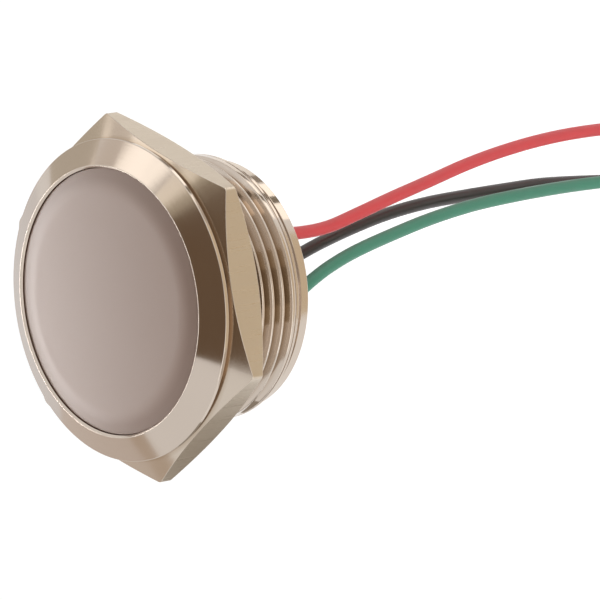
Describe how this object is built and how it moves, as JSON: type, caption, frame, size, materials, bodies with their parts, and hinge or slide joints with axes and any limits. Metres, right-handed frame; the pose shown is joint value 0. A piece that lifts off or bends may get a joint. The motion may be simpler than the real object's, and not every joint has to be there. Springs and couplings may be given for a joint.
{
  "type": "panel pilot light",
  "caption": "Round metal panel pilot light with a domed frosted lens in a bevelled bezel, a threaded barrel, a hexagon nut and flying leads.",
  "frame": {"origin": "on the axis, at the bezel's seat on the panel", "axes": "+Z along the axis out of the lens, +X towards a corner of the nut, leads hang towards -Z"},
  "size_m": [0.0416, 0.036, 0.1671],
  "materials": {
    "nickel": "bright nickel plate over fine turned brass",
    "nut_nickel": "nickel plate, satin flats",
    "lens_frosted": "satin frosted translucent polycarbonate",
    "seal_silicone": "translucent silicone",
    "gasket_rubber": "matte black rubber",
    "cup_white": "white moulded plastic",
    "board_white": "white solder mask on glass laminate",
    "led_red_pkg": "white package with warm resin",
    "led_green_pkg": "white package with clear resin",
    "chip_black": "black component body",
    "diode_black": "moulded black epoxy",
    "solder": "bright solder",
    "potting_resin": "black cast resin",
    "pvc_red": "matte red PVC",
    "pvc_black": "matte black PVC",
    "pvc_green": "matte green PVC",
    "tinned_copper": "tinned twisted strands"
  },
  "bodies": {
    "light": {"bezel_body": "nickel", "lens": "lens_frosted", "lens_seal": "seal_silicone", "panel_gasket": "gasket_rubber", "reflector_cup": "cup_white", "circuit_board": "board_white", "red_led_1": "led_red_pkg", "red_led_2": "led_red_pkg", "red_led_3": "led_red_pkg", "green_led_1": "led_green_pkg", "green_led_2": "led_green_pkg", "green_led_3": "led_green_pkg", "red_resistor": "chip_black", "green_resistor": "chip_black", "blocking_diode": "diode_black", "red_solder_joint": "solder", "black_solder_joint": "solder", "green_solder_joint": "solder", "potting": "potting_resin", "red_lead": "pvc_red", "black_lead": "pvc_black", "green_lead": "pvc_green", "red_tinned_end": "tinned_copper", "black_tinned_end": "tinned_copper", "green_tinned_end": "tinned_copper"},
    "nut": {"hex_nut": "nut_nickel"}
  },
  "joints": [
    {"name": "nut_travel", "type": "slide", "parent": "light", "child": "nut", "axis": [0, 0, -1], "range_m": [0, 0.017]}
  ]
}
